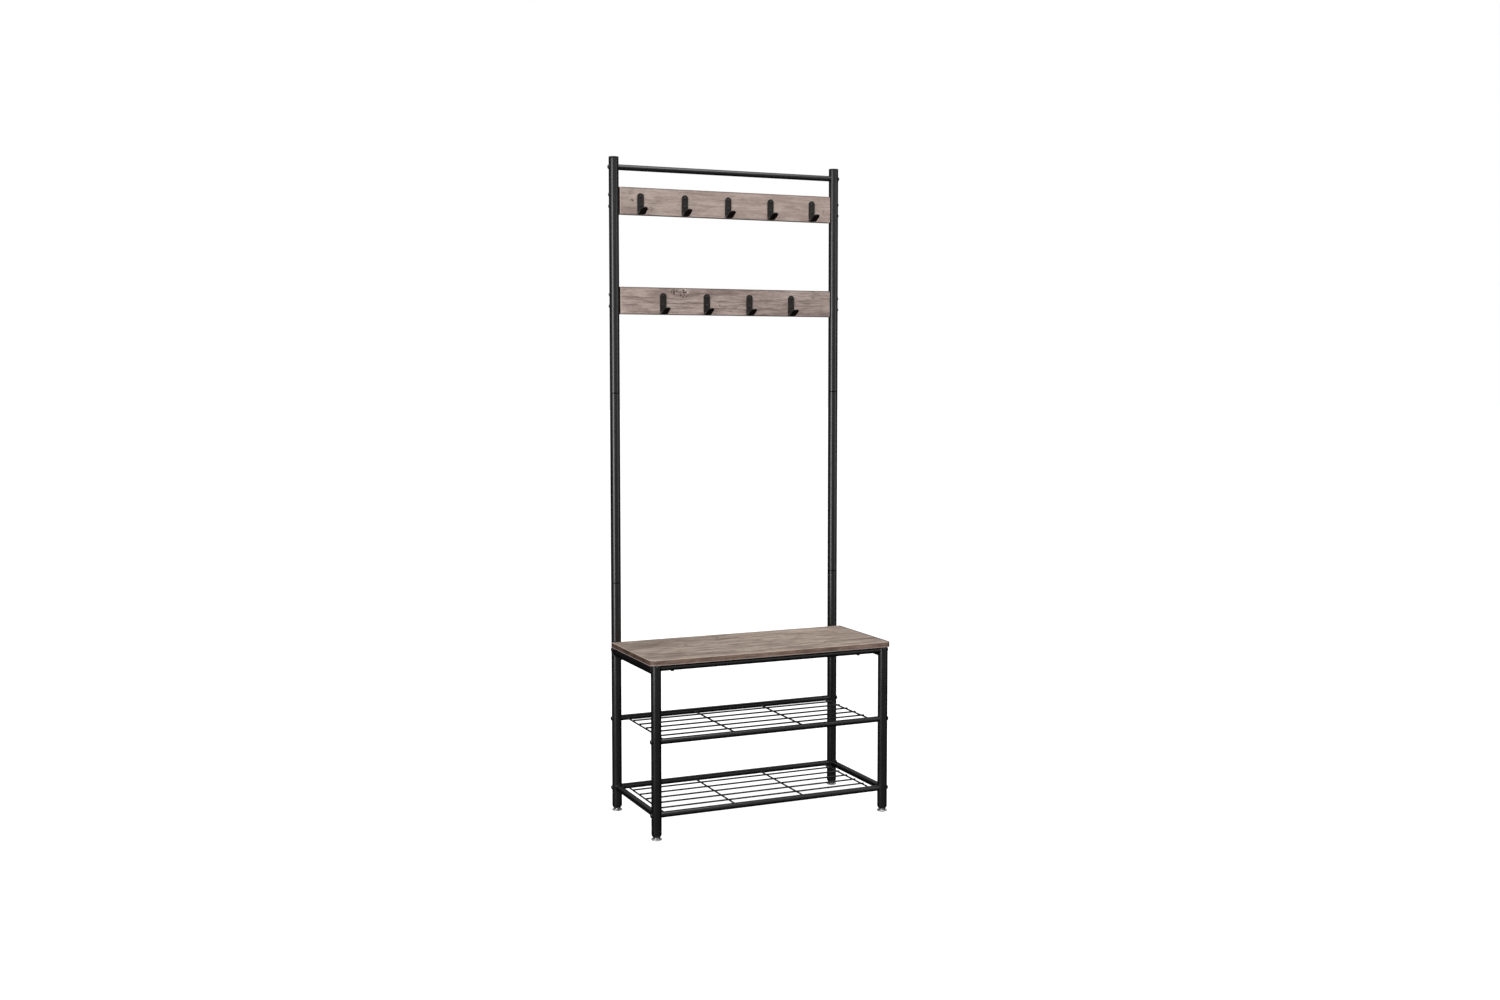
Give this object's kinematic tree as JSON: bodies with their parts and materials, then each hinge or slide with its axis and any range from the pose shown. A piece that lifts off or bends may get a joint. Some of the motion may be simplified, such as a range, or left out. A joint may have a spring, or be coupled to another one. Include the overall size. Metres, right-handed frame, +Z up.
{
  "type": "hall tree",
  "caption": "Freestanding hall tree: a round-tube steel frame with a wooden seat, wire shoe shelves, wooden boards with coat hooks and a top rail, on levelling feet.",
  "frame": {"origin": "on the floor, below the middle of the whole object", "axes": "+Z up, -Y towards a person who faces the hooks and the seat, +X to the right of that person"},
  "size_m": [0.72, 0.341, 1.83],
  "materials": {
    "black_steel": "satin black powder coat",
    "greige_oak": "grey-brown oak grain laminate, matte",
    "black_plastic": "moulded matt black plastic",
    "bright_steel": "nickel-plated steel",
    "zinc_steel": "zinc-plated steel"
  },
  "bodies": {
    "root": {"board_bolts": "black_steel", "board_inserts": "zinc_steel", "foot_nuts": "zinc_steel", "hanging_rail": "black_steel", "hook_screws": "black_steel", "left_back_leg": "black_steel", "left_back_leg_plug": "black_plastic", "left_front_leg": "black_steel", "left_front_leg_plug": "black_plastic", "left_front_leg_top_plug": "black_plastic", "left_lower_side_rail": "black_steel", "left_middle_post": "black_steel", "left_post_cap": "black_plastic", "left_seat_side_rail": "black_steel", "left_upper_post": "black_steel", "lower_hook_1": "black_steel", "lower_hook_2": "black_steel", "lower_hook_3": "black_steel", "lower_hook_4": "black_steel", "lower_hook_board": "greige_oak", "lower_joint_sleeves": "zinc_steel", "lower_shelf_back_rail": "black_steel", "lower_shelf_cross_wires": "black_steel", "lower_shelf_front_rail": "black_steel", "lower_shelf_long_wires": "black_steel", "rail_bolts": "black_steel", "rail_end_nuts": "zinc_steel", "right_back_leg": "black_steel", "right_back_leg_plug": "black_plastic", "right_front_leg": "black_steel", "right_front_leg_plug": "black_plastic", "right_front_leg_top_plug": "black_plastic", "right_lower_side_rail": "black_steel", "right_middle_post": "black_steel", "right_post_cap": "black_plastic", "right_seat_side_rail": "black_steel", "right_upper_post": "black_steel", "seat_back_rail": "black_steel", "seat_board": "greige_oak", "seat_front_rail": "black_steel", "seat_screws": "black_steel", "upper_hook_1": "black_steel", "upper_hook_2": "black_steel", "upper_hook_3": "black_steel", "upper_hook_4": "black_steel", "upper_hook_5": "black_steel", "upper_hook_board": "greige_oak", "upper_joint_sleeves": "zinc_steel", "upper_shelf_back_rail": "black_steel", "upper_shelf_cross_wires": "black_steel", "upper_shelf_front_rail": "black_steel", "upper_shelf_long_wires": "black_steel"},
    "left_front_foot_stem": {"left_front_foot_stud": "zinc_steel"},
    "left_front_foot_glide": {"left_front_foot_disc": "bright_steel"},
    "left_back_foot_stem": {"left_back_foot_stud": "zinc_steel"},
    "left_back_foot_glide": {"left_back_foot_disc": "bright_steel"},
    "right_front_foot_stem": {"right_front_foot_stud": "zinc_steel"},
    "right_front_foot_glide": {"right_front_foot_disc": "bright_steel"},
    "right_back_foot_stem": {"right_back_foot_stud": "zinc_steel"},
    "right_back_foot_glide": {"right_back_foot_disc": "bright_steel"}
  },
  "joints": [
    {"name": "left_front_foot_travel", "type": "slide", "parent": "root", "child": "left_front_foot_stem", "axis": [0, 0, -1], "range_m": [0, 0.01]},
    {"name": "left_front_foot_turn", "type": "hinge", "parent": "left_front_foot_stem", "child": "left_front_foot_glide", "pos_m": [-0.3404, -0.1565, 0], "axis": [0, 0, -1], "range_deg": [0, 2880]},
    {"name": "left_back_foot_travel", "type": "slide", "parent": "root", "child": "left_back_foot_stem", "axis": [0, 0, -1], "range_m": [0, 0.01]},
    {"name": "left_back_foot_turn", "type": "hinge", "parent": "left_back_foot_stem", "child": "left_back_foot_glide", "pos_m": [-0.3404, 0.1565, 0], "axis": [0, 0, -1], "range_deg": [0, 2880]},
    {"name": "right_front_foot_travel", "type": "slide", "parent": "root", "child": "right_front_foot_stem", "axis": [0, 0, -1], "range_m": [0, 0.01]},
    {"name": "right_front_foot_turn", "type": "hinge", "parent": "right_front_foot_stem", "child": "right_front_foot_glide", "pos_m": [0.3404, -0.1565, 0], "axis": [0, 0, -1], "range_deg": [0, 2880]},
    {"name": "right_back_foot_travel", "type": "slide", "parent": "root", "child": "right_back_foot_stem", "axis": [0, 0, -1], "range_m": [0, 0.01]},
    {"name": "right_back_foot_turn", "type": "hinge", "parent": "right_back_foot_stem", "child": "right_back_foot_glide", "pos_m": [0.3404, 0.1565, 0], "axis": [0, 0, -1], "range_deg": [0, 2880]}
  ],
  "couplings": [
    {"joint": "left_front_foot_travel", "follows": "left_front_foot_turn", "m_per_rad": 0.00019894},
    {"joint": "left_back_foot_travel", "follows": "left_back_foot_turn", "m_per_rad": 0.00019894},
    {"joint": "right_front_foot_travel", "follows": "right_front_foot_turn", "m_per_rad": 0.00019894},
    {"joint": "right_back_foot_travel", "follows": "right_back_foot_turn", "m_per_rad": 0.00019894}
  ]
}
